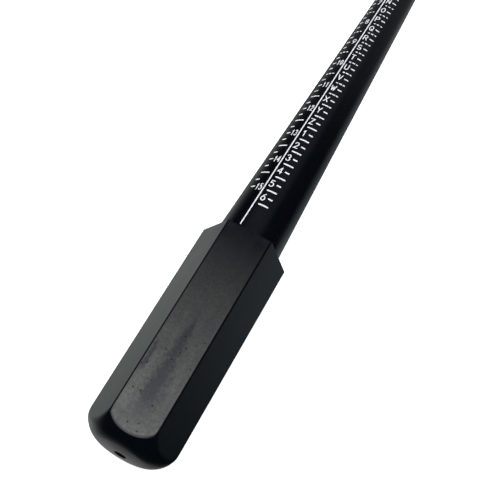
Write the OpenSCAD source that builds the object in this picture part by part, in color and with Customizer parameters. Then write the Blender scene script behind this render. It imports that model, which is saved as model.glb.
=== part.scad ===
// Ring mandrel: a hollow tapered sizing shaft whose spigot is bonded into a hexagonal grip.
// The axis is +X from the butt to the tip, +Z goes up through a flat of the grip,
// and the origin is the middle of the domed butt. Angles round the axis run from +Y towards +Z.

/* [Shaft] */
// Diameter where the shaft leaves the grip
root_d = 25; // [24:0.1:25.6]
// Diameter of the tip
tip_d = 11.4; // [10.5:0.1:12.5]
// Length of the shaft from the grip's shoulder to the tip
shaft_len = 256; // [250:1:270]
// Bore of the hollow shaft at its root
bore_root_d = 17.2; // [14:0.1:18]
// Bore of the hollow shaft at its closed end
bore_end_d = 6; // [4:0.1:6.6]
// Thickness of the closed tip
tip_wall = 6; // [4:0.5:9]

/* [Spigot] */
// Diameter of the spigot at the shoulder
spigot_d = 22.6; // [21.5:0.1:23]
// Length of the spigot inside the grip
spigot_len = 40; // [30:1:48]
// Draft of the spigot and its socket, in degrees a side
spigot_draft = 0.5; // [0.25:0.05:0.75]
// Radial gap between the spigot and its socket, which the cement fills
bond_gap = 0.05; // [0.03:0.01:0.1]

/* [Grip] */
// Length of the grip
grip_len = 83.8; // [78:0.1:90]
// Distance across the flats at the shoulder
mouth_af = 29.2; // [28.8:0.1:31]
// Distance across the flats at the butt
butt_af = 27.4; // [27:0.1:29]
// Thickness of the butt behind the hanging hole
butt_wall = 4.6; // [4:0.1:8]
// Diameter of the hanging hole
hole_d = 4.2; // [2:0.1:5]
// Diameter of the hollow below the spigot
hollow_d = 18; // [14:0.5:19]

/* [Print] */
// Thickness of the printed ink
ink = 0.08; // [0.05:0.01:0.15]
// Width of the long datum lines
line_w = 0.5; // [0.4:0.05:1]
// Width of the ticks and dashes
tick_w = 0.62; // [0.3:0.05:0.8]
// Spacing of the UK sizes along the axis
uk_pitch = 7.2; // [7:0.05:7.3]
// Spacing of the US sizes along the axis
us_pitch = 15.44; // [15:0.02:15.5]

/* [Hidden] */
$fn = 96;

// The shaft loses this much radius for each millimetre along the axis.
slope = (root_d - tip_d) / 2 / shaft_len;
tip_break = 0.8;

// Shape of the domed butt: a shallow crown, a rolled corner and a bell that opens past the flats.
// Each runs smoothly into the next, so the bell's radius follows from where its centre stands.
crown_r = 53;
crown_deg = 8.5;
corner_r = 9.9;
bell_mid = [0, 12.3];
crown_edge = [crown_r * sin(crown_deg), crown_r * (1 - cos(crown_deg))];
corner_mid = crown_edge + corner_r * [-sin(crown_deg), cos(crown_deg)];
bell_reach = norm(corner_mid - bell_mid);
bell_r = bell_reach + corner_r;
bell_edge = bell_mid + (corner_mid - bell_mid) * bell_r / bell_reach;

// Angles of the two printed datum lines.
front_deg = 68.4;
rear_deg = front_deg + 180;
// Each scale's marks, as distances round the shaft from its datum line.
dash_v = [3.75, 5.65];
long_v = [1.55, 5.65];
outer_v = [3.95, 5.95];
// Distance from the shoulder to the largest size of each scale, and each scale's other values.
uk_first = 16.95;
uk_count = 32;
us_first = 21.4;
us_largest = 15;
line_start = 2.4;
line_end = shaft_len - 6;
// Sizes of the rear scales follow from the diameter: EU sizes are the circumference in millimetres,
// and Japanese sizes step by a third of a millimetre of diameter from 13 mm.
eu_sizes = [40:76];
japan_sizes = [1:33];

function shaft_r(u) = root_d / 2 - slope * u;
function where_d(d) = (root_d - d) / 2 / slope;
function eu_u(size) = where_d(size / PI);
function japan_u(size) = where_d(13 + (size - 1) / 3);

// Stands a piece made along +Z, from the butt upwards, along +X instead.
module lay() rotate([0, 90, 0]) children();

// One flat of the drafted hexagon: everything on the axis side of a leaning plane.
module flat_side(turn) {
    lean = atan((mouth_af - butt_af) / 2 / grip_len);
    rotate([0, 0, turn]) translate([butt_af / 2, 0, 0]) rotate([0, lean, 0])
        translate([-100, -60, -10]) cube([100, 120, grip_len + 20]);
}

module drafted_hexagon()
    intersection_for (i = [0:5]) flat_side(60 * i);

// Outline of the turned butt, which cuts the hexagon's end to a dome.
module butt_outline() {
    intersection() {
        translate([0, crown_r]) circle(crown_r);
        square(crown_edge);
    }
    intersection() {
        translate(corner_mid) circle(corner_r);
        square([bell_r, bell_mid[1]]);
    }
    polygon([[0, crown_edge[1]], crown_edge, bell_edge, [0, bell_edge[1]]]);
    intersection() {
        translate(bell_mid) circle(bell_r);
        translate([0, bell_edge[1]]) square([bell_r, bell_mid[1] - bell_edge[1]]);
    }
    translate(bell_mid) square([bell_r + 1, grip_len - bell_mid[1]]);
}

// Radius of the spigot at a depth below the shoulder.
function spigot_r(depth) = spigot_d / 2 - depth * tan(spigot_draft);

module socket_outline() {
    deep = spigot_len + 0.6;
    polygon([[0, grip_len + 1], [spigot_r(-1) + bond_gap, grip_len + 1],
             [spigot_r(deep) + bond_gap, grip_len - deep], [hollow_d / 2, grip_len - deep],
             [hollow_d / 2 - 0.4, butt_wall + 3], [hollow_d / 2 - 3.4, butt_wall], [0, butt_wall]]);
}

module grip() color([0.09, 0.1, 0.1]) lay() difference() {
    intersection() {
        drafted_hexagon();
        rotate_extrude() butt_outline();
    }
    rotate_extrude() socket_outline();
    translate([0, 0, -1]) cylinder(d = hole_d, h = butt_wall + 2);
}

// Half section of the shaft from the end of the spigot to the tip, heights from the shoulder.
module shaft_outline() {
    bore_top = shaft_len - tip_wall;
    groove = 0.4;
    polygon([[bore_root_d / 2 + 0.3, -spigot_len], [spigot_r(spigot_len) - 0.8, -spigot_len],
             [spigot_r(spigot_len - 1.6), 1.6 - spigot_len],
             [spigot_r(29), -29], [spigot_r(29) - groove, -28.6],
             [spigot_r(27) - groove, -27.4], [spigot_r(27), -27],
             [spigot_r(13), -13], [spigot_r(13) - groove, -12.6],
             [spigot_r(11) - groove, -11.4], [spigot_r(11), -11],
             [spigot_d / 2, 0], [root_d / 2, 0],
             [shaft_r(shaft_len - tip_break), shaft_len - tip_break],
             [shaft_r(shaft_len) - tip_break * 0.3, shaft_len - tip_break * 0.3],
             [shaft_r(shaft_len) - tip_break, shaft_len], [0, shaft_len],
             [0, bore_top], [bore_end_d / 2 - 1, bore_top], [bore_end_d / 2, bore_top - 1],
             [bore_root_d / 2, 0]]);
}

module sizing_shaft() color([0.05, 0.055, 0.06]) lay() translate([0, 0, grip_len])
    rotate_extrude() shaft_outline();

// A mark across the shaft at height u, between two distances round from a datum line.
module mark(deg, u, reach) {
    low = u - tick_w / 2;
    high = u + tick_w / 2;
    turn = 180 / PI / shaft_r(u);
    rotate([0, 0, deg + 90 + reach[0] * turn]) rotate_extrude(angle = (reach[1] - reach[0]) * turn)
        polygon([[shaft_r(low), low], [shaft_r(low) + ink, low],
                 [shaft_r(high) + ink, high], [shaft_r(high), high]]);
}

module marks(deg, heights, reach)
    color("white") lay() translate([0, 0, grip_len]) for (u = heights) mark(deg, u, reach);

// A straight strip lying along the taper.
module datum_line(deg) color("white") lay() translate([0, 0, grip_len]) rotate([0, 0, deg + 90])
    translate([root_d / 2, 0, 0]) rotate([0, -atan(slope), 0])
        translate([0, -line_w / 2, line_start]) cube([ink, line_w, line_end - line_start]);

function turned(reach) = [-reach[1], -reach[0]];

grip();
sizing_shaft();
datum_line(front_deg);  // front_datum_line
marks(front_deg, [for (i = [0:uk_count - 1]) uk_first + uk_pitch * i], dash_v);  // uk_size_dashes
marks(front_deg, [for (i = [0:uk_count - 1]) uk_first + uk_pitch * (i - 0.5)], long_v);  // uk_half_size_ticks
marks(front_deg, [for (i = [0:us_largest - 1]) us_first + us_pitch * i], turned(outer_v));  // us_size_dashes
marks(front_deg, [for (i = [0:us_largest - 2]) us_first + us_pitch * (i + 0.5)], turned(long_v));  // us_half_size_ticks
marks(front_deg, [for (i = [0:us_largest * 2 - 3]) us_first + us_pitch * (i + 0.5) / 2],  // us_quarter_size_dashes
          turned(outer_v));
datum_line(rear_deg);  // rear_datum_line
marks(rear_deg, [for (s = eu_sizes) eu_u(s)], dash_v);  // eu_size_dashes
marks(rear_deg, [for (s = eu_sizes) eu_u(s + 0.5)], long_v);  // eu_half_size_ticks
marks(rear_deg, [for (s = japan_sizes) japan_u(s)], turned(outer_v));  // japan_size_dashes
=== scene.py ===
from math import atan, cos, pi, radians, sin, tan

import bmesh
import bpy
import numpy as np
from mathutils import Matrix, Vector


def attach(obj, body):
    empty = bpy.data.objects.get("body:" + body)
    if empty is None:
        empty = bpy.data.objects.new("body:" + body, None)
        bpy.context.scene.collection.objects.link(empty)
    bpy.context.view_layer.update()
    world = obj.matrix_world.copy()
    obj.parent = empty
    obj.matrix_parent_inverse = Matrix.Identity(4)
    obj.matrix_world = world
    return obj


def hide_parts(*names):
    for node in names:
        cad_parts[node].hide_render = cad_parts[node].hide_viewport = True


# Ring mandrel: a hexagonal grip and a tapered sizing shaft in black moulded ABS, with the
# ring-size scales pad-printed in white. Lengths are in millimetres until a mesh is made.

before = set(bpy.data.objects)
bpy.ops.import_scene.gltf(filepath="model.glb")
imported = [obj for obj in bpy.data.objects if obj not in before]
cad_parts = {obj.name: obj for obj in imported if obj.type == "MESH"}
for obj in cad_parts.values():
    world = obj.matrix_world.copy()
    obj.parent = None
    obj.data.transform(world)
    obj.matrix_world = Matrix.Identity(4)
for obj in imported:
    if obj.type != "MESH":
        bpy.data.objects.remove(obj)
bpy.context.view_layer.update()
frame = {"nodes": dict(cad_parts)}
scene = bpy.context.scene
mm = 0.001
print("frame loaded:", ", ".join(frame["nodes"]))


def linear(hexColour):
    parts = [int(hexColour[i:i + 2], 16) / 255 for i in (1, 3, 5)]
    return tuple(p / 12.92 if p <= 0.04045 else ((p + 0.055) / 1.055) ** 2.4 for p in parts) + (1.0,)


def addNode(tree, kind, inputs=None, **settings):
    node = tree.nodes.new(kind)
    for name, value in settings.items():
        setattr(node, name, value)
    for key, value in (inputs or {}).items():
        if isinstance(value, bpy.types.NodeSocket):
            tree.links.new(value, node.inputs[key])
        else:
            node.inputs[key].default_value = value
    return node


# The camera stands behind the butt and looks down along the mandrel.
camera = {"place": (-44.93, -28.26, 224.22), "heading": 0.19880, "tilt": 1.03607, "roll": 0.31051,
          "lens": 51.522, "sensor": 36.0, "shift": (-0.001, 0.001)}


def makeCamera():
    heading, tilt, roll = camera["heading"], camera["tilt"], camera["roll"]
    ahead = Vector((cos(heading) * cos(tilt), sin(heading) * cos(tilt), -sin(tilt)))
    levelRight = Vector((sin(heading), -cos(heading), 0))
    levelUp = levelRight.cross(ahead)
    right = levelRight * cos(roll) + levelUp * sin(roll)
    up = levelUp * cos(roll) - levelRight * sin(roll)
    data = bpy.data.cameras.new("camera")
    data.lens = camera["lens"]
    data.sensor_width = camera["sensor"]
    data.clip_start = 0.01
    data.clip_end = 20
    data.shift_x, data.shift_y = camera["shift"]
    cam = bpy.data.objects.new("camera", data)
    cam.matrix_world = Matrix.Translation(Vector(camera["place"]) * mm) @ Matrix(
        (right, up, -ahead)).transposed().to_4x4()
    scene.collection.objects.link(cam)
    scene.camera = cam


makeCamera()
print("camera set")

# The mandrel lies on the shoulder's lower edge and on its tip, so the floor leans two degrees.
floor = {"shoulderLow": (83.8, -14.6), "tipLow": (339.8, -5.7), "size": 6000, "colour": "#f6f6f4",
         "backlight": 0.8}


def makeFloor():
    (x0, z0), (x1, z1) = floor["shoulderLow"], floor["tipLow"]
    lean = atan((z1 - z0) / (x1 - x0))
    half = floor["size"] / 2
    mesh = bpy.data.meshes.new("floor")
    corners = [(-half, -half), (half, -half), (half, half), (-half, half)]
    mesh.from_pydata([((x0 + x * cos(lean)) * mm, y * mm, (z0 + x * sin(lean) - 0.02) * mm)
                      for x, y in corners], [], [(0, 1, 2, 3)])
    material = bpy.data.materials.new("white paper sweep")
    material.use_nodes = True
    shader = material.node_tree.nodes["Principled BSDF"]
    shader.inputs["Base Color"].default_value = linear(floor["colour"])
    shader.inputs["Roughness"].default_value = 0.9
    shader.inputs["Emission Color"].default_value = linear(floor["colour"])
    shader.inputs["Emission Strength"].default_value = floor["backlight"]
    mesh.materials.append(material)
    sweep = bpy.data.objects.new("floor", mesh)
    scene.collection.objects.link(sweep)
    sweep.visible_glossy = False


# A white sweep all round, so that a low view has no dark gap behind the part. It gives no light.
backdrop = {"radius": 2600, "colour": "#ffffff", "backlight": 1.2}


def makeBackdrop():
    work = bmesh.new()
    bmesh.ops.create_uvsphere(work, u_segments=64, v_segments=32, radius=backdrop["radius"] * mm)
    bmesh.ops.reverse_faces(work, faces=work.faces)
    mesh = bpy.data.meshes.new("backdrop")
    work.to_mesh(mesh)
    work.free()
    mesh.shade_smooth()
    material = bpy.data.materials.new("white cloth sweep")
    material.use_nodes = True
    shader = material.node_tree.nodes["Principled BSDF"]
    shader.inputs["Base Color"].default_value = linear(backdrop["colour"])
    shader.inputs["Emission Color"].default_value = linear(backdrop["colour"])
    shader.inputs["Emission Strength"].default_value = backdrop["backlight"]
    mesh.materials.append(material)
    sweep = bpy.data.objects.new("backdrop", mesh)
    scene.collection.objects.link(sweep)
    sweep.visible_diffuse = sweep.visible_glossy = sweep.visible_shadow = False


light = {
    # name: place, aimed at, width, height, watts, colour
    "overhead": ((150, 0, 900), (120, 0, 0), 900, 900, 6, "#ffffff"),
}


def makeLights():
    for name, (place, aim, width, height, watts, colour) in light.items():
        data = bpy.data.lights.new(name, "AREA")
        data.shape = "RECTANGLE"
        data.size = width * mm
        data.size_y = height * mm
        data.energy = watts
        data.color = linear(colour)[:3]
        lamp = bpy.data.objects.new(name, data)
        lamp.location = Vector(place) * mm
        lamp.rotation_euler = (Vector(aim) - Vector(place)).to_track_quat("-Z", "Y").to_euler()
        lamp.visible_glossy = False
        scene.collection.objects.link(lamp)


# What the plastic mirrors: a pale table that fades out behind the butt and towards the right, a soft
# box over the grip, a dim ceiling beyond it, and otherwise a dark room. Each glow has a brightness, a
# colour, and ranges of direction x, y and z over which it comes in, smoothly or in a straight line.
room = {
    "table": (0.21, "#fffffc", (-0.55, -0.35), (-0.4, -0.02), (-0.6, -0.9)),
    "tableFar": (0.04, "#fafffd", (-0.9, -0.5), (-0.5, 0.1), (-0.3, -0.7)),
    "tableNear": (0.11, "#fffffc", (0.45, 0.0), (0.0, 0.12), (-0.5, -0.8)),
    "tableLeft": (0.4, "#f4fffb", (-0.75, -0.35), (0.32, 0.68), (0.15, -0.5)),
    "tableLeftFar": (0.15, "#f8fffc", (0.15, 0.46), (0.35, 0.65), (0.0, -0.5)),
    "shade": (-0.22, "#ffffff", (0.44, 0.6), (0.35, 0.65), (0.0, -0.4)),
    "tableRight": (0.43, "#e6f6ff", (0.1, 0.66), (-0.1, -0.4), (-0.08, -0.5)),
    "shadeRight": (-0.21, "#e6f6ff", (0.51, 0.59), (-0.1, -0.4), (-0.08, -0.5)),
    "wall": (0.28, "#fffffc", (0.66, 0.95), None, None),
    "softBox": (2.1, "#f6f7ff", (0.485, 0.21, "LINEAR"), (-0.5, -0.15), (0.7, 0.85)),
    "ceiling": (0.15, "#d4e0ff", (0.47, 0.56), (-0.5, -0.28), (0.5, 0.7))}
roomDark = 0.001


def makeRoom():
    world = bpy.data.worlds.new("studio room")
    scene.world = world
    world.use_nodes = True
    tree = world.node_tree
    tree.nodes.clear()
    way = addNode(tree, "ShaderNodeTexCoord").outputs["Generated"]
    ways = addNode(tree, "ShaderNodeSeparateXYZ", {0: way}).outputs
    total = (roomDark, roomDark, roomDark)
    for brightness, colour, *spans in room.values():
        value = brightness
        for axis, span in enumerate(spans):
            if span:
                part = addNode(tree, "ShaderNodeMapRange", {0: ways[axis], 1: span[0], 2: span[1]},
                               interpolation_type=(span + ("SMOOTHSTEP",))[2]).outputs[0]
                value = addNode(tree, "ShaderNodeMath", {0: part, 1: value},
                                operation="MULTIPLY").outputs[0]
        glow = addNode(tree, "ShaderNodeVectorMath", {0: linear(colour)[:3], "Scale": value},
                       operation="SCALE").outputs[0]
        total = addNode(tree, "ShaderNodeVectorMath", {0: glow, 1: total}).outputs[0]
    shine = addNode(tree, "ShaderNodeBackground", {0: total, 1: 1.0})
    addNode(tree, "ShaderNodeOutputWorld", {0: shine.outputs[0]})


makeFloor()
makeBackdrop()
makeLights()
makeRoom()
scene.view_settings.view_transform = "Standard"
print("floor, lights and room set")


# Injection-moulded ABS from a blasted tool: blue-black with a dull sheen. A pale bloom on its upper side
# is partly dust and skin grease from handling, mottled, with specks that stay clean, and partly painted
# sheen: upper faces lighter towards the butt. A finger has rubbed the bloom off in two streaks, the long
# one widening from fine to coarse.
gripAbs = {"colour": "#04090e", "bloomAndSheen": "#51534b", "roughness": 0.18, "ior": 1.5, "streak": (26.0, 3.6),
           "cloud": 6.0, "fleck": 1.0, "ragged": 1.3, "grain": 0.3, "grainDepth": 0.02,
           "speck": 1.1, "speckShare": 0.14, "speckEnd": 40.0, "bloomAndSheenSpan": (80.0, 6.0),
           "skin": (11.8, 12.6),
           # each rub: distance from the butt at its thin and wide ends, middle, half widths, share rubbed
           "rubs": [((49.0, 13.0), 0.0, (0.7, 4.4), 1.0), ((34.0, 23.5), 6.7, (0.7, 1.0), 1.0)]}
# The same ABS from a polished tool: smoother, with long faint flow lines from moulding, and next to no
# dust, so that its flanks mirror the room. Its faint bloom on the upper faces, lighter towards the tip, is
# a painted sheen with a faint mottle.
shaftAbs = {"colour": "#04070c", "bloomAndSheen": "#0e1318", "roughness": 0.2, "ior": 1.5, "streak": (60.0, 3.0),
            "cloud": 12.0, "fleck": 1.5, "ragged": 1.3, "grain": 0.25, "grainDepth": 0.006,
            "speck": 0.9, "speckShare": 0.14, "speckEnd": 40.0, "bloomAndSheenSpan": (60.0, 200.0),
            "skin": (4.0, 5.0), "rubs": []}
# Two-part pad-printing ink: flat white, a little uneven where the pad lifted.
printInk = {"colour": "#f6f7f8", "thin": "#dfe1e3", "roughness": 0.6, "ior": 1.5, "patch": 1.2}


def makeAbs(name, look):
    material = bpy.data.materials.new(name)
    material.use_nodes = True
    tree = material.node_tree
    shader = tree.nodes["Principled BSDF"]
    place = addNode(tree, "ShaderNodeTexCoord").outputs["Object"]
    x, y, _ = addNode(tree, "ShaderNodeSeparateXYZ", {0: place}).outputs
    crossing = addNode(tree, "ShaderNodeVectorMath", {0: place, 1: (0, 1, 1)}, operation="MULTIPLY")
    outward = addNode(tree, "ShaderNodeVectorMath", {0: crossing.outputs[0]}, operation="LENGTH")
    normal = addNode(tree, "ShaderNodeNewGeometry").outputs["Normal"]
    towardTip, _, upward = addNode(tree, "ShaderNodeSeparateXYZ", {0: normal}).outputs
    along, across = look["streak"]
    drawn = addNode(tree, "ShaderNodeMapping", {"Vector": place, "Scale": (across / along, 1, 1)})
    streak, cloud, fleck, ragged, grain = [
        addNode(tree, "ShaderNodeTexNoise", {"Vector": where, "Scale": 1 / (size * mm), "Detail": detail,
                                             "Roughness": rough}).outputs[0]
        for where, size, detail, rough in (
            (drawn.outputs[0], across, 5.0, 0.6), (place, look["cloud"], 6.0, 0.65),
            (place, look["fleck"], 4.0, 0.7), (place, look["ragged"], 4.0, 0.7),
            (place, look["grain"], 3.0, 0.6))]
    mottle = addNode(tree, "ShaderNodeMath", {0: streak, 1: cloud}, operation="MULTIPLY").outputs[0]

    # The bloom, partly dust and partly painted sheen, is a product of shares, each (value, from, to, share
    # at from, share at to).
    thick, thin = [v * mm for v in look["bloomAndSheenSpan"]]
    inside, outside = [v * mm for v in look["skin"]]
    # Painted sheen: the share by x that rises towards the butt, the share by upward faces and the share
    # that drops on faces turned to the butt. Dust: the mottle, the flecks and the specks below.
    shares = [(mottle, 0.12, 0.36, 0.5, 1.0), (fleck, 0.38, 0.6, 0.55, 1.0), (x, thick, thin, 0.0, 1.0),
              (upward, 0.93, 0.99, 0.03, 1.0), (towardTip, -0.25, -0.06, 0.0, 1.0),
              (outward.outputs["Value"], inside, outside, 0.0, 1.0)]
    cells = addNode(tree, "ShaderNodeTexVoronoi", {"Vector": place, "Scale": 1 / (look["speck"] * mm)})
    spot = addNode(tree, "ShaderNodeMapRange", {0: cells.outputs["Distance"], 1: 0.2, 2: 0.3}).outputs[0]
    chosen = addNode(tree, "ShaderNodeSeparateColor", {0: cells.outputs["Color"]}).outputs[0]
    dusty = addNode(tree, "ShaderNodeMath", {0: chosen, 1: 1 - look["speckShare"]}, operation="LESS_THAN")
    sideways = addNode(tree, "ShaderNodeMath", {0: upward, 1: 0.9}, operation="LESS_THAN")
    beyond = addNode(tree, "ShaderNodeMath", {0: x, 1: look["speckEnd"] * mm}, operation="GREATER_THAN")
    clear = spot
    for unspecked in (dusty, sideways, beyond):
        clear = addNode(tree, "ShaderNodeMath", {0: clear, 1: unspecked.outputs[0]},
                        operation="MAXIMUM").outputs[0]
    shares.append((clear, 0.0, 1.0, 0.0, 1.0))

    for (fineEnd, coarseEnd), middle, (fine, coarse), share in look["rubs"]:
        # Nought beside the rubbed streak and one along it, with a ragged edge and faded ends.
        reach = addNode(tree, "ShaderNodeMapRange", {0: x, 1: fineEnd * mm, 2: coarseEnd * mm,
                                                     3: fine * mm, 4: coarse * mm}).outputs[0]
        aside = addNode(tree, "ShaderNodeMath", {0: y, 1: middle * mm}, operation="SUBTRACT").outputs[0]
        away = addNode(tree, "ShaderNodeMath", {0: aside}, operation="ABSOLUTE").outputs[0]
        away = addNode(tree, "ShaderNodeMath", {0: away, 1: reach}, operation="DIVIDE").outputs[0]
        rubbed, fade = share, (fineEnd - coarseEnd) / 5
        for low, high in ((fineEnd, fineEnd - fade), (coarseEnd - fade, coarseEnd + fade / 2)):
            end = addNode(tree, "ShaderNodeMapRange", {0: x, 1: low * mm, 2: high * mm})
            rubbed = addNode(tree, "ShaderNodeMath", {0: end.outputs[0], 1: rubbed},
                             operation="MULTIPLY").outputs[0]
        broken = addNode(tree, "ShaderNodeMapRange", {0: ragged, 1: 0.3, 2: 0.7, 3: -0.55, 4: 0.55})
        away = addNode(tree, "ShaderNodeMath", {0: away, 1: broken.outputs[0]}, operation="ADD").outputs[0]
        nearness = addNode(tree, "ShaderNodeMapRange", {0: away, 1: 1.1, 2: 0.3}).outputs[0]
        rubbed = addNode(tree, "ShaderNodeMath", {0: nearness, 1: rubbed},
                         operation="MULTIPLY").outputs[0]
        shares.append((rubbed, 0.0, 1.0, 1.0, 0.04))

    bloomAndSheen = 1.0
    for value, low, high, less, more in shares:
        share = addNode(tree, "ShaderNodeMapRange", {0: value, 1: low, 2: high, 3: less, 4: more})
        bloomAndSheen = addNode(tree, "ShaderNodeMath", {0: share.outputs[0], 1: bloomAndSheen},
                        operation="MULTIPLY").outputs[0]
    # Mixes the bloom, dust and painted sheen, into the base colour.
    colour = addNode(tree, "ShaderNodeMix", {0: bloomAndSheen, "A": linear(look["colour"]),
                                             "B": linear(look["bloomAndSheen"])}, data_type="RGBA")
    tree.links.new(colour.outputs[2], shader.inputs["Base Color"])
    dull = addNode(tree, "ShaderNodeMapRange", {0: mottle, 1: 0.15, 2: 0.35, 3: look["roughness"] + 0.05,
                                                4: look["roughness"] - 0.02}).outputs[0]
    matt = addNode(tree, "ShaderNodeMapRange", {0: clear, 3: 0.9, 4: 0.0}).outputs[0]
    rough = addNode(tree, "ShaderNodeMath", {0: dull, 1: matt}, operation="MAXIMUM").outputs[0]
    tree.links.new(rough, shader.inputs["Roughness"])
    bump = addNode(tree, "ShaderNodeBump", {"Height": grain, "Strength": 0.3,
                                            "Distance": look["grainDepth"] * mm})
    tree.links.new(bump.outputs[0], shader.inputs["Normal"])
    shader.inputs["IOR"].default_value = look["ior"]
    return material


def makeInk():
    material = bpy.data.materials.new("pad-printed white ink")
    material.use_nodes = True
    tree = material.node_tree
    shader = tree.nodes["Principled BSDF"]
    place = addNode(tree, "ShaderNodeTexCoord").outputs["Object"]
    patch = addNode(tree, "ShaderNodeTexNoise", {"Vector": place, "Detail": 4.0,
                                                 "Scale": 1 / (printInk["patch"] * mm)})
    thin = addNode(tree, "ShaderNodeMapRange", {0: patch.outputs[0], 1: 0.35, 2: 0.6})
    colour = addNode(tree, "ShaderNodeMix", {0: thin.outputs[0], "A": linear(printInk["thin"]),
                                             "B": linear(printInk["colour"])}, data_type="RGBA")
    tree.links.new(colour.outputs[2], shader.inputs["Base Color"])
    shader.inputs["Roughness"].default_value = printInk["roughness"]
    shader.inputs["IOR"].default_value = printInk["ior"]
    return material


gripMaterial = makeAbs("moulded ABS, blasted tool", gripAbs)
shaftMaterial = makeAbs("moulded ABS, polished tool", shaftAbs)
inkMaterial = makeInk()
print("materials made")


# The hexagonal grip with its turned butt.
grip = {"length": 83.8, "mouthFlats": 29.2, "buttFlats": 27.4, "edgeRound": 0.45,
        "crownRadius": 53.0, "cornerRadius": 9.9, "crownDegrees": 8.5, "bellCentre": 12.3,
        "hole": 2.1, "holeEdge": 0.06, "wall": 4.6, "hollow": 9.0, "mouth": 11.35, "socketDepth": 40.6,
        "rimRound": 0.18, "domeCentre": 16.0, "stepDegrees": 0.8, "lengthSteps": 24,
        "shoulderFlat": 13.6, "mouthBevel": 0.25, "socketDraft": 0.35, "hollowDraft": 0.4,
        "hollowBevel": 3.0, "holeLip": 0.1}


def aroundHexagon():
    # Angles round the axis, closer together at the six corners where the rounding is.
    near = [0.0, 0.35, 0.7, 1.05, 1.4, 1.8, 2.3, 3.0]
    inner = np.arange(-30 + near[-1] + grip["stepDegrees"], 30 - near[-1], grip["stepDegrees"])
    turns = []
    for corner in range(6):
        start = 60 * corner
        turns += [start + a for a in near]
        turns += list(start + 30 + inner)
        turns += [start + 60 - a for a in reversed(near[1:])]
    return np.radians(np.array(turns))


def gripDistance(x, y, z):
    # How far outside the grip a point is, with the six flats and the domed butt blended by edgeRound.
    soft = grip["edgeRound"]
    lean = (grip["mouthFlats"] - grip["buttFlats"]) / 2 / grip["length"]
    total = np.zeros_like(x)
    for i in range(6):
        turn = radians(30 + 60 * i)
        flat = y * cos(turn) + z * sin(turn) - grip["buttFlats"] / 2 - lean * x
        total += np.maximum(flat + soft, 0) ** 2
    crown = radians(grip["crownDegrees"])
    r, big, small = np.hypot(y, z), grip["crownRadius"], grip["cornerRadius"]
    midR = (big - small) * sin(crown)
    midX = big - (big - small) * cos(crown)
    edge = atan(midR / (grip["bellCentre"] - midX))
    bell = small + midR / sin(edge)
    outR, outX = r - midR, x - midX
    turned = np.arctan2(outR, -outX)
    dome = np.hypot(outR, outX) - small
    dome = np.where((turned < crown) & (outX < 0), np.hypot(r, x - big) - big, dome)
    dome = np.where(turned > edge, np.hypot(r, x - grip["bellCentre"]) - bell, dome)
    dome = np.where((outR < 0) & (outX >= 0) | (x > grip["bellCentre"]), -small, dome)
    total += np.maximum(dome + soft, 0) ** 2
    return np.sqrt(total) - soft


def hitGrip(startX, leanX, leanR, turns):
    # Walks out from the axis along one ray per turn and returns the points on the grip's skin.
    low, high = np.zeros_like(turns), np.full_like(turns, 60.0)
    for _ in range(44):
        t = (low + high) / 2
        out = gripDistance(startX + leanX * t, leanR * t * np.cos(turns), leanR * t * np.sin(turns))
        low, high = np.where(out < 0, t, low), np.where(out < 0, high, t)
    t = (low + high) / 2
    return np.stack([startX + leanX * t, leanR * t * np.cos(turns), leanR * t * np.sin(turns)], 1)


def ring(x, r, turns):
    return np.stack([np.full_like(turns, x), r * np.cos(turns), r * np.sin(turns)], 1)


def meshFromRings(name, rings, material):
    # Rings of equal count joined in order and round again to the first, a closed skin.
    count, points = len(rings[0]), np.concatenate(rings) * mm
    faces = []
    for i in range(len(rings)):
        a, b = i * count, (i + 1) % len(rings) * count
        faces += [(a + j, a + (j + 1) % count, b + (j + 1) % count, b + j) for j in range(count)]
    mesh = bpy.data.meshes.new(name)
    mesh.from_pydata([tuple(p) for p in points], [], faces)
    return finishMesh(name, mesh, material)


def finishMesh(name, mesh, material, sharp=35):
    work = bmesh.new()
    work.from_mesh(mesh)
    bmesh.ops.remove_doubles(work, verts=work.verts, dist=1e-7)
    bmesh.ops.recalc_face_normals(work, faces=work.faces)
    work.to_mesh(mesh)
    work.free()
    mesh.shade_smooth()
    mesh.set_sharp_from_angle(angle=radians(sharp))
    if not mesh.materials:
        mesh.materials.append(material)
    piece = bpy.data.objects.new(name, mesh)
    scene.collection.objects.link(piece)
    return piece


def makeGrip():
    turns = aroundHexagon()
    length, mid = grip["length"], grip["domeCentre"]
    rings = []
    firstRay = atan((grip["hole"] + grip["holeEdge"]) / mid)
    for a in np.arange(firstRay, pi / 2, radians(grip["stepDegrees"])):
        rings.append(hitGrip(mid, -cos(a), sin(a), turns))
    stations = list(np.linspace(mid, length - 1, grip["lengthSteps"]))
    for x in stations + [length - 0.5, length - grip["rimRound"]]:
        rings.append(hitGrip(x, 0, 1, turns))
    rim = hitGrip(length, 0, 1, turns)
    for inset, back in ((0.3, 0.6), (1.0, 0.0)):
        lip = rim * np.array([1, 0, 0]) - np.array([grip["rimRound"] * back * 0.3, 0, 0])
        lip[:, 1:] = rim[:, 1:] * (1 - grip["rimRound"] * inset / np.hypot(rim[:, 1], rim[:, 2]))[:, None]
        rings.append(lip)
    deep = length - grip["socketDepth"]
    mouth, bevel = grip["mouth"], grip["mouthBevel"]
    hollow, wall, hole = grip["hollow"], grip["wall"], grip["hole"]
    low, slant = hollow - grip["hollowDraft"], grip["hollowBevel"]
    # Distance from the butt and radius, in from the shoulder and down to the hanging hole.
    for x, r in ((length, grip["shoulderFlat"]), (length, mouth + bevel), (length - bevel, mouth),
                 (deep, mouth - grip["socketDraft"]), (deep, hollow), (wall + slant, low),
                 (wall, low - slant), (wall, hole), (grip["holeLip"], hole)):
        rings.append(ring(x, r, turns))
    piece = meshFromRings("grip_skin", rings, gripMaterial)
    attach(piece, "root")
    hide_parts("grip")
    print("grip:", len(piece.data.polygons), "faces")


makeGrip()

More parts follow.
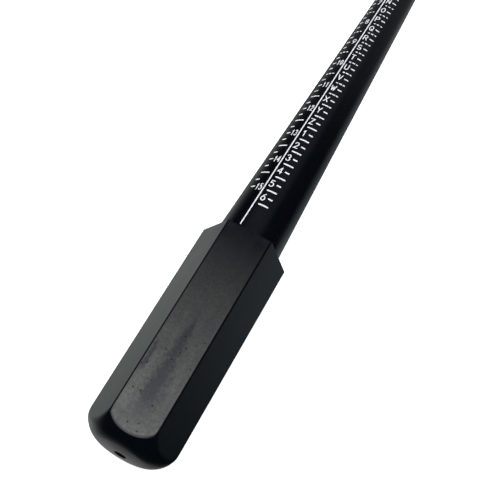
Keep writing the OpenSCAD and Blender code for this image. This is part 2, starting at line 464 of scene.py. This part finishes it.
# The sizing shaft is turned from its outline by geometry nodes.
shaft = {"length": 256.0, "root": 12.5, "tip": 5.7, "spigot": 11.3, "spigotLength": 40.0,
         "spigotDraft": 0.5, "boreRoot": 8.6, "boreEnd": 3.0, "tipWall": 6.0, "tipRound": 0.8,
         "rootRound": 0.12, "gate": 1.4, "gateRise": 0.25, "around": 320, "lengthSteps": 32,
         "endRun": 8.0, "grooves": (11, 27), "grooveDepth": 0.4, "grooveWidth": 2.0,
         "leadLength": 1.6, "leadDepth": 0.8, "boreLip": 0.3}
slope = (shaft["root"] - shaft["tip"]) / shaft["length"]


def spigotRadius(depth):
    return shaft["spigot"] - depth * tan(radians(shaft["spigotDraft"]))


def shaftOutline():
    # Distance from the shoulder and radius, from the tip's middle down the outside and back up the bore.
    end, soft, wide = shaft["length"], shaft["tipRound"], shaft["tip"]
    line = [(end - shaft["gateRise"], 0), (end - shaft["gateRise"], shaft["gate"] - 0.2),
            (end - 0.04, shaft["gate"]), (end, shaft["gate"] + 0.3)]
    for a in np.radians(np.arange(0, 91, 15)):
        line.append((end - soft + soft * cos(a), wide - soft + soft * sin(a)))
    run = shaft["endRun"]
    line += [(u, shaft["root"] - slope * u) for u in np.linspace(end - run, run, shaft["lengthSteps"])]
    trim = shaft["rootRound"]
    line += [(1, shaft["root"] - slope), (trim, shaft["root"]), (0.03, shaft["root"] - 0.05),
             (0, shaft["root"] - trim), (0, shaft["spigot"])]
    deep, wide = shaft["grooveDepth"], shaft["grooveWidth"]
    for top in shaft["grooves"]:
        line += [(-top, spigotRadius(top)), (-top - deep, spigotRadius(top) - deep),
                 (-top - wide + deep, spigotRadius(top + wide) - deep),
                 (-top - wide, spigotRadius(top + wide))]
    low, lead = shaft["spigotLength"], shaft["leadLength"]
    line += [(lead - low, spigotRadius(low - lead)), (-low, spigotRadius(low) - shaft["leadDepth"]),
             (-low, shaft["boreRoot"] + shaft["boreLip"]), (0, shaft["boreRoot"])]
    top = end - shaft["tipWall"]
    line += [(top - 1, shaft["boreEnd"]), (top, shaft["boreEnd"] - 1), (top, 0)]
    return line


def addInputs(tree, wanted):
    # Makes a geometry tree's named inputs and its output; returns the inputs' identifiers by name.
    names = {}
    for name, kind in wanted.items():
        names[name] = tree.interface.new_socket(name, in_out="INPUT", socket_type=kind).identifier
    tree.interface.new_socket("Geometry", in_out="OUTPUT", socket_type="NodeSocketGeometry")
    return names


def bake(source, tree, names, values, name, sharp=35):
    # Runs a geometry tree on source and returns its result as a plain, finished piece.
    modifier = source.modifiers.new("build", "NODES")
    modifier.node_group = tree
    for key, value in values.items():
        modifier[names[key]] = value
    scene.collection.objects.link(source)
    graph = bpy.context.evaluated_depsgraph_get()
    mesh = bpy.data.meshes.new_from_object(source.evaluated_get(graph), depsgraph=graph)
    mesh.name = name
    source.modifiers.remove(modifier)
    bpy.data.objects.remove(source)
    return finishMesh(name, mesh, values.get("Material"), sharp)


def lineObject(name, points):
    mesh = bpy.data.meshes.new(name)
    mesh.from_pydata(points, [(i, i + 1) for i in range(len(points) - 1)], [])
    return bpy.data.objects.new(name, mesh)


def makeLatheTree():
    # Outline points give x and radius; a grid wraps them round the axis.
    tree = bpy.data.node_groups.new("turn outline", "GeometryNodeTree")
    names = addInputs(tree, {"Geometry": "NodeSocketGeometry", "Around": "NodeSocketInt",
                             "Material": "NodeSocketMaterial"})
    given = addNode(tree, "NodeGroupInput").outputs
    size = addNode(tree, "GeometryNodeAttributeDomainSize", {0: given["Geometry"]})
    columns = addNode(tree, "ShaderNodeMath", {0: given["Around"], 1: 1.0}, operation="ADD")
    grid = addNode(tree, "GeometryNodeMeshGrid", {"Vertices X": columns.outputs[0],
                                                  "Vertices Y": size.outputs["Point Count"]})
    index = addNode(tree, "GeometryNodeInputIndex")
    row = addNode(tree, "ShaderNodeMath", {0: index.outputs[0], 1: size.outputs["Point Count"]},
                  operation="MODULO")
    ratio = addNode(tree, "ShaderNodeMath", {0: index.outputs[0], 1: size.outputs["Point Count"]},
                    operation="DIVIDE")
    column = addNode(tree, "ShaderNodeMath", {0: ratio.outputs[0]}, operation="FLOOR")
    share = addNode(tree, "ShaderNodeMath", {0: column.outputs[0], 1: given["Around"]}, operation="DIVIDE")
    angle = addNode(tree, "ShaderNodeMath", {0: share.outputs[0], 1: 2 * pi}, operation="MULTIPLY")
    place = addNode(tree, "GeometryNodeInputPosition")
    outline = addNode(tree, "GeometryNodeSampleIndex", {"Geometry": given["Geometry"]},
                      data_type="FLOAT_VECTOR")
    tree.links.new(place.outputs[0], outline.inputs["Value"])
    tree.links.new(row.outputs[0], outline.inputs["Index"])
    parts = addNode(tree, "ShaderNodeSeparateXYZ", {0: outline.outputs[0]})
    wide = addNode(tree, "ShaderNodeMath", {0: angle.outputs[0]}, operation="COSINE")
    high = addNode(tree, "ShaderNodeMath", {0: angle.outputs[0]}, operation="SINE")
    y = addNode(tree, "ShaderNodeMath", {0: parts.outputs["Y"], 1: wide.outputs[0]}, operation="MULTIPLY")
    z = addNode(tree, "ShaderNodeMath", {0: parts.outputs["Y"], 1: high.outputs[0]}, operation="MULTIPLY")
    point = addNode(tree, "ShaderNodeCombineXYZ", {0: parts.outputs["X"], 1: y.outputs[0], 2: z.outputs[0]})
    turned = addNode(tree, "GeometryNodeSetPosition", {"Geometry": grid.outputs["Mesh"],
                                                       "Position": point.outputs[0]})
    closed = addNode(tree, "GeometryNodeMergeByDistance", {"Geometry": turned.outputs[0],
                                                           "Distance": 1e-6})
    solid = addNode(tree, "GeometryNodeRealizeInstances", {0: closed.outputs[0]})
    painted = addNode(tree, "GeometryNodeSetMaterial", {"Geometry": solid.outputs[0],
                                                        "Material": given["Material"]})
    addNode(tree, "NodeGroupOutput", {0: painted.outputs[0]})
    return tree, names


def makeShaft():
    tree, names = makeLatheTree()
    points = [((grip["length"] + u) * mm, r * mm, 0) for u, r in shaftOutline()]
    piece = bake(lineObject("outline", points), tree, names,
                 {"Around": shaft["around"], "Material": shaftMaterial}, "sizing_shaft_skin")
    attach(piece, "root")
    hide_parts("sizing_shaft")
    print("shaft:", len(piece.data.polygons), "faces")


makeShaft()

# The printed scales are drawn flat and then wrapped on the taper by geometry nodes. Flat layout:
# x is the distance from the shoulder, y the distance round from a datum line, z the film.
ink = {"film": 0.035, "tick": 0.62, "line": 0.5, "pen": 0.4, "lineStart": 2.4, "lineEnd": 250.0,
       "letterHeight": 3.4, "letterGap": 0.22, "thinPen": 0.36, "frontDegrees": 68.4,
       "rearDegrees": 248.4, "capDegrees": (30, 60, 80), "mitreLimit": 0.35, "crossingLift": 0.002,
       "bendStep": 0.5, "lineStep": 2.0}


def addWrap(tree, given, flat):
    # Bends flat ink on to the taper: x stays along the axis and y becomes an angle.
    place = addNode(tree, "GeometryNodeInputPosition")
    parts = addNode(tree, "ShaderNodeSeparateXYZ", {0: place.outputs[0]})
    thinning = addNode(tree, "ShaderNodeMath", {0: parts.outputs["X"], 1: given["Slope"]},
                       operation="MULTIPLY")
    radius = addNode(tree, "ShaderNodeMath", {0: given["Root Radius"], 1: thinning.outputs[0]},
                     operation="SUBTRACT")
    around = addNode(tree, "ShaderNodeMath", {0: parts.outputs["Y"], 1: radius.outputs[0]},
                     operation="DIVIDE")
    angle = addNode(tree, "ShaderNodeMath", {0: around.outputs[0], 1: given["Datum"]}, operation="ADD")
    lifted = addNode(tree, "ShaderNodeMath", {0: radius.outputs[0], 1: parts.outputs["Z"]},
                     operation="ADD")
    wide = addNode(tree, "ShaderNodeMath", {0: angle.outputs[0]}, operation="COSINE")
    high = addNode(tree, "ShaderNodeMath", {0: angle.outputs[0]}, operation="SINE")
    x = addNode(tree, "ShaderNodeMath", {0: parts.outputs["X"], 1: given["Shoulder"]}, operation="ADD")
    y = addNode(tree, "ShaderNodeMath", {0: lifted.outputs[0], 1: wide.outputs[0]}, operation="MULTIPLY")
    z = addNode(tree, "ShaderNodeMath", {0: lifted.outputs[0], 1: high.outputs[0]}, operation="MULTIPLY")
    point = addNode(tree, "ShaderNodeCombineXYZ", {0: x.outputs[0], 1: y.outputs[0], 2: z.outputs[0]})
    bent = addNode(tree, "GeometryNodeSetPosition", {"Geometry": flat, "Position": point.outputs[0]})
    solid = addNode(tree, "GeometryNodeRealizeInstances", {0: bent.outputs[0]})
    painted = addNode(tree, "GeometryNodeSetMaterial", {"Geometry": solid.outputs[0],
                                                        "Material": given["Material"]})
    addNode(tree, "NodeGroupOutput", {0: painted.outputs[0]})


wrapInputs = {"Geometry": "NodeSocketGeometry", "Shoulder": "NodeSocketFloat",
              "Root Radius": "NodeSocketFloat", "Slope": "NodeSocketFloat", "Datum": "NodeSocketFloat",
              "Material": "NodeSocketMaterial"}
wrapValues = {"Shoulder": grip["length"] * mm, "Root Radius": shaft["root"] * mm, "Slope": slope,
              "Material": inkMaterial}


def makeWrapTree():
    tree = bpy.data.node_groups.new("wrap ink on taper", "GeometryNodeTree")
    names = addInputs(tree, wrapInputs)
    given = addNode(tree, "NodeGroupInput").outputs
    addWrap(tree, given, given["Geometry"])
    return tree, names


def makeRowTree():
    # One flat mark is repeated along the scale, then the row is wrapped.
    tree = bpy.data.node_groups.new("row of marks", "GeometryNodeTree")
    names = addInputs(tree, {**wrapInputs, "Count": "NodeSocketInt", "First": "NodeSocketFloat",
                             "Pitch": "NodeSocketFloat"})
    given = addNode(tree, "NodeGroupInput").outputs
    start = addNode(tree, "ShaderNodeCombineXYZ", {0: given["First"]})
    step = addNode(tree, "ShaderNodeCombineXYZ", {0: given["Pitch"]})
    line = addNode(tree, "GeometryNodeMeshLine", {"Count": given["Count"],
                                                  "Start Location": start.outputs[0],
                                                  "Offset": step.outputs[0]})
    copies = addNode(tree, "GeometryNodeInstanceOnPoints", {"Points": line.outputs[0],
                                                            "Instance": given["Geometry"]})
    flat = addNode(tree, "GeometryNodeRealizeInstances", {0: copies.outputs[0]})
    addWrap(tree, given, flat.outputs[0])
    return tree, names


def outlineOf(path, half):
    # The edge of a round-ended pen stroke as matching left and right points along the path.
    path = [Vector(p) for p in path]
    closed = (path[0] - path[-1]).length < 1e-6
    count = len(path)
    left, right = [], []
    for i, point in enumerate(path):
        before = path[i - 1] if i else path[-2] if closed else point * 2 - path[1]
        after = path[i + 1] if i < count - 1 else path[1] if closed else point * 2 - path[-2]
        came, goes = (point - before).normalized(), (after - point).normalized()
        across = Vector((-came.y - goes.y, came.x + goes.x))
        across = across / max(1 + came.dot(goes), ink["mitreLimit"])
        left.append(point + across * half)
        right.append(point - across * half)
    if not closed:
        for end, step in ((0, 1), (count - 1, -1)):
            along = (path[end] - path[end + step]).normalized()
            side = Vector((-along.y, along.x)) * step * -1
            caps = []
            for a in ink["capDegrees"]:
                reach = path[end] + along * half * sin(radians(a))
                caps.append((reach + side * half * cos(radians(a)), reach - side * half * cos(radians(a))))
            if end == 0:
                left = [c[0] for c in reversed(caps)] + left
                right = [c[1] for c in reversed(caps)] + right
            else:
                left += [c[0] for c in caps]
                right += [c[1] for c in caps]
    return left, right, closed


def flatStroke(points, faces, path, half, film):
    # Adds a closed slab of ink, film thick, along the path.
    left, right, closed = outlineOf(path, half)
    if closed:
        left, right = left[:-1], right[:-1]
    count, base = len(left), len(points)
    for z in (0, film):
        points += [(p.x * mm, p.y * mm, z * mm) for p in left]
        points += [(p.x * mm, p.y * mm, z * mm) for p in right]
    lowL, lowR, topL, topR = base, base + count, base + 2 * count, base + 3 * count
    for i in range(count if closed else count - 1):
        j = (i + 1) % count
        faces += [(topL + i, topL + j, topR + j, topR + i), (lowL + j, lowL + i, lowR + i, lowR + j),
                  (lowL + i, lowL + j, topL + j, topL + i), (lowR + j, lowR + i, topR + i, topR + j)]
    if not closed:
        faces += [(lowL, topL, topR, lowR), (lowR + count - 1, topR + count - 1, topL + count - 1,
                                             lowL + count - 1)]


def split(path, longest):
    # The path with extra points, so that the ink can bend round the shaft.
    fine = [Vector(path[0])]
    for a, b in zip(path, path[1:]):
        a, b = Vector(a), Vector(b)
        parts = max(1, int(np.ceil((b - a).length / longest)))
        fine += [a.lerp(b, (i + 1) / parts) for i in range(parts)]
    return fine


def flatObject(name, strokes):
    # strokes: (path, width) in millimetres; each has its own film so that crossings don't fight.
    points, faces = [], []
    for i, (path, width) in enumerate(strokes):
        step = ink["bendStep"] if len(path) > 2 or width < 0.6 else ink["lineStep"]
        flatStroke(points, faces, split(path, step), width / 2, ink["film"] + ink["crossingLift"] * (i % 3))
    mesh = bpy.data.meshes.new(name)
    mesh.from_pydata(points, [], faces)
    return bpy.data.objects.new(name, mesh)


def bow(x, y, wide, high, start, end, step=15):
    turns = np.radians(np.linspace(start, end, max(2, int(abs(end - start) / step) + 1)))
    return [(x + wide * cos(a), y + high * sin(a)) for a in turns]


# Single-stroke characters on a grid 4 wide and 6 high, as an engraver's pantograph cuts them.
character = {
    "0": [bow(2, 3, 1.9, 3, 0, 360)],
    "1": [[(0.9, 4.5), (2.2, 6), (2.2, 0)]],
    "2": [bow(2, 4.2, 1.8, 1.8, 170, -30) + [(0.1, 0), (4, 0)]],
    "3": [bow(1.9, 4.6, 1.6, 1.4, 160, -90) + bow(1.9, 1.6, 1.9, 1.6, 90, -160)],
    "4": [[(3, 0), (3, 6), (0, 1.7), (4.1, 1.7)]],
    "5": [[(3.6, 6), (0.7, 6), (0.4, 3.2)] + bow(1.8, 1.95, 2.1, 1.95, 125, -150)],
    "6": [[(3, 6), (1.7, 4.9), (0.6, 3.2)] + bow(2, 1.9, 1.9, 1.9, 155, 515)],
    "7": [[(0, 6), (4, 6), (1.4, 0)]],
    "8": [bow(2, 4.6, 1.6, 1.4, -90, 270), bow(2, 1.6, 1.9, 1.6, 90, 450)],
    "9": [[(1, 0), (2.3, 1.1), (3.4, 2.8)] + bow(2, 4.1, 1.9, 1.9, -25, 335)],
    "A": [[(0, 0), (2, 6), (4, 0)], [(0.7, 2), (3.3, 2)]],
    "B": [[(0, 3.2), (0, 6)] + bow(2.1, 4.6, 1.5, 1.4, 90, -90) + [(0, 3.2)],
          [(0, 3.2), (0, 0)] + bow(2.1, 1.6, 1.8, 1.6, -90, 90)],
    "C": [bow(2.1, 3, 2.1, 3, 50, 310)],
    "D": [[(0, 0), (0, 6)] + bow(1.6, 3, 2.3, 3, 90, -90) + [(0, 0)]],
    "E": [[(3.8, 6), (0, 6), (0, 0), (3.8, 0)], [(0, 3.1), (3, 3.1)]],
    "F": [[(3.8, 6), (0, 6), (0, 0)], [(0, 3.1), (3, 3.1)]],
    "G": [bow(2.1, 3, 2.1, 3, 50, 345) + [(4.1, 2.8), (2.5, 2.8)]],
    "H": [[(0, 0), (0, 6)], [(3.9, 0), (3.9, 6)], [(0, 3.1), (3.9, 3.1)]],
    "I": [[(2, 0), (2, 6)]],
    "J": [[(3.4, 6)] + bow(1.7, 1.7, 1.7, 1.7, 0, -170)],
    "K": [[(0, 0), (0, 6)], [(3.8, 6), (0, 2.3)], [(1.3, 3.5), (4, 0)]],
    "L": [[(0, 6), (0, 0), (3.7, 0)]],
    "M": [[(0, 0), (0, 6), (2.2, 1.6), (4.4, 6), (4.4, 0)]],
    "N": [[(0, 0), (0, 6), (4, 0), (4, 6)]],
    "O": [bow(2, 3, 2.1, 3, 0, 360)],
    "P": [[(0, 0), (0, 6)] + bow(2.3, 4.4, 1.6, 1.6, 90, -90) + [(0, 2.8)]],
    "Q": [bow(2, 3, 2.1, 3, 0, 360), [(2.3, 1.7), (4.1, -0.1)]],
    "R": [[(0, 0), (0, 6)] + bow(2.3, 4.4, 1.6, 1.6, 90, -90) + [(0, 2.8)], [(2, 2.8), (4, 0)]],
    "S": [bow(2, 4.45, 1.8, 1.55, 40, 250) + bow(2, 1.5, 2, 1.5, 70, -150)],
    "T": [[(0, 6), (4, 6)], [(2, 6), (2, 0)]],
    "U": [[(0, 6)] + bow(2, 1.9, 2, 1.9, 180, 360) + [(4, 6)]],
    "V": [[(0, 6), (2, 0), (4, 6)]],
    "W": [[(-0.2, 6), (1, 0), (2.1, 5), (3.2, 0), (4.4, 6)]],
    "X": [[(0, 0), (4, 6)], [(0, 6), (4, 0)]],
    "Y": [[(0, 6), (2, 3), (4, 6)], [(2, 3), (2, 0)]],
    "Z": [[(0, 6), (4, 6), (0, 0), (4, 0)]],
}


def wordStrokes(word, along, start, end, pen):
    # Strokes of a word that fills start to end round the shaft and is centred on along.
    high = (ink["letterHeight"] - pen) / 6
    gap = ink["letterGap"] if len(word) > 1 else 0
    room = (end - start - gap * (len(word) - 1)) / len(word)
    wide = (room - pen) / 4
    strokes = []
    for i, letter in enumerate(word):
        left = start + (room + gap) * i + pen / 2
        for path in character[letter]:
            strokes.append(([(along + (y - 3) * high, left + x * wide) for x, y in path], pen))
    return strokes


frontScales = {
    "ukFirst": 16.95, "ukPitch": 7.2, "ukNames": "654321ZYXWVUTSRQPONMLKJIHGFEDCBA",
    "usFirst": 21.4, "usPitch": 15.44, "usLargest": 15,
    "dash": (3.75, 5.65), "tick": (1.55, 5.65), "outer": (3.95, 5.95), "letter": (1.0, 2.9),
    "number": (-3.4, -0.75), "digit": (-2.75, -1.1)}
rearScales = {"euLargest": 76, "euSmallest": 41, "japanLargest": 33, "japanOne": 13, "number": (1.0, 3.35)}


def whereDiameter(d):
    return (2 * shaft["root"] - d) / 2 / slope


def turned(reach):
    return (-reach[1], -reach[0])


def addMarks(name, node, datum, count, first, pitch, reach):
    # A row of round-ended marks that lie across the shaft.
    soft = ink["tick"] / 2
    stroke = ([(0, reach[0] + soft), (0, reach[1] - soft)], ink["tick"])
    values = {**wrapValues, "Datum": radians(ink[datum]), "Count": count, "First": first * mm,
              "Pitch": pitch * mm}
    finishPrint(bake(flatObject(name, [stroke]), *rowTree, values, name, 30), node)


def addPrint(name, node, datum, strokes):
    values = {**wrapValues, "Datum": radians(ink[datum])}
    finishPrint(bake(flatObject(name, strokes), *wrapTree, values, name, 30), node)


def finishPrint(piece, node):
    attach(piece, "root")
    if node:
        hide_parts(node)


def makeFrontScales():
    s = frontScales
    half = ink["line"] / 2
    line = [([(ink["lineStart"] + half, 0), (ink["lineEnd"] - half, 0)], ink["line"])]
    addPrint("front_line_ink", "front_datum_line", "frontDegrees", line)
    ukCount = len(s["ukNames"])
    addMarks("uk_dash_ink", "uk_size_dashes", "frontDegrees", ukCount, s["ukFirst"], s["ukPitch"],
             s["dash"])
    addMarks("uk_half_ink", "uk_half_size_ticks", "frontDegrees", ukCount,
             s["ukFirst"] - s["ukPitch"] / 2, s["ukPitch"], s["tick"])
    letters = []
    for i, name in enumerate(s["ukNames"]):
        letters += wordStrokes(name, s["ukFirst"] + s["ukPitch"] * i, *s["letter"], ink["pen"])
    addPrint("uk_letter_ink", None, "frontDegrees", letters)
    usCount = s["usLargest"]
    addMarks("us_dash_ink", "us_size_dashes", "frontDegrees", usCount, s["usFirst"], s["usPitch"],
             turned(s["outer"]))
    addMarks("us_half_ink", "us_half_size_ticks", "frontDegrees", usCount - 1,
             s["usFirst"] + s["usPitch"] / 2, s["usPitch"], turned(s["tick"]))
    addMarks("us_quarter_ink", "us_quarter_size_dashes", "frontDegrees", 2 * usCount - 2,
             s["usFirst"] + s["usPitch"] / 4, s["usPitch"] / 2, turned(s["outer"]))
    numbers = []
    for i in range(usCount):
        name = str(s["usLargest"] - i)
        reach = s["number"] if len(name) > 1 else s["digit"]
        numbers += wordStrokes(name, s["usFirst"] + s["usPitch"] * i, *reach, ink["thinPen"])
    addPrint("us_number_ink", None, "frontDegrees", numbers)


def makeRearScales():
    s, f = rearScales, frontScales
    half = ink["line"] / 2
    line = [([(ink["lineStart"] + half, 0), (ink["lineEnd"] - half, 0)], ink["line"])]
    addPrint("rear_line_ink", "rear_datum_line", "rearDegrees", line)
    sizes = range(s["euLargest"], s["euSmallest"] - 1, -1)
    pitch = 1 / pi / 2 / slope
    first = whereDiameter(s["euLargest"] / pi)
    addMarks("eu_dash_ink", "eu_size_dashes", "rearDegrees", len(sizes), first, pitch, f["dash"])
    addMarks("eu_half_ink", "eu_half_size_ticks", "rearDegrees", len(sizes), first - pitch / 2, pitch,
             f["tick"])
    numbers = []
    for i, size in enumerate(sizes):
        numbers += wordStrokes(str(size), first + pitch * i, *s["number"], ink["thinPen"])
    addPrint("eu_number_ink", None, "rearDegrees", numbers)
    japanFirst = whereDiameter(s["japanOne"] + (s["japanLargest"] - 1) / 3)
    japanPitch = 1 / 3 / 2 / slope
    addMarks("japan_dash_ink", "japan_size_dashes", "rearDegrees", s["japanLargest"], japanFirst,
             japanPitch, turned(f["outer"]))
    numbers = []
    for i in range(s["japanLargest"]):
        name = str(s["japanLargest"] - i)
        reach = f["number"] if len(name) > 1 else f["digit"]
        numbers += wordStrokes(name, japanFirst + japanPitch * i, *reach, ink["thinPen"])
    addPrint("japan_number_ink", None, "rearDegrees", numbers)


rowTree = makeRowTree()
wrapTree = makeWrapTree()
makeFrontScales()
makeRearScales()
print("scales printed")
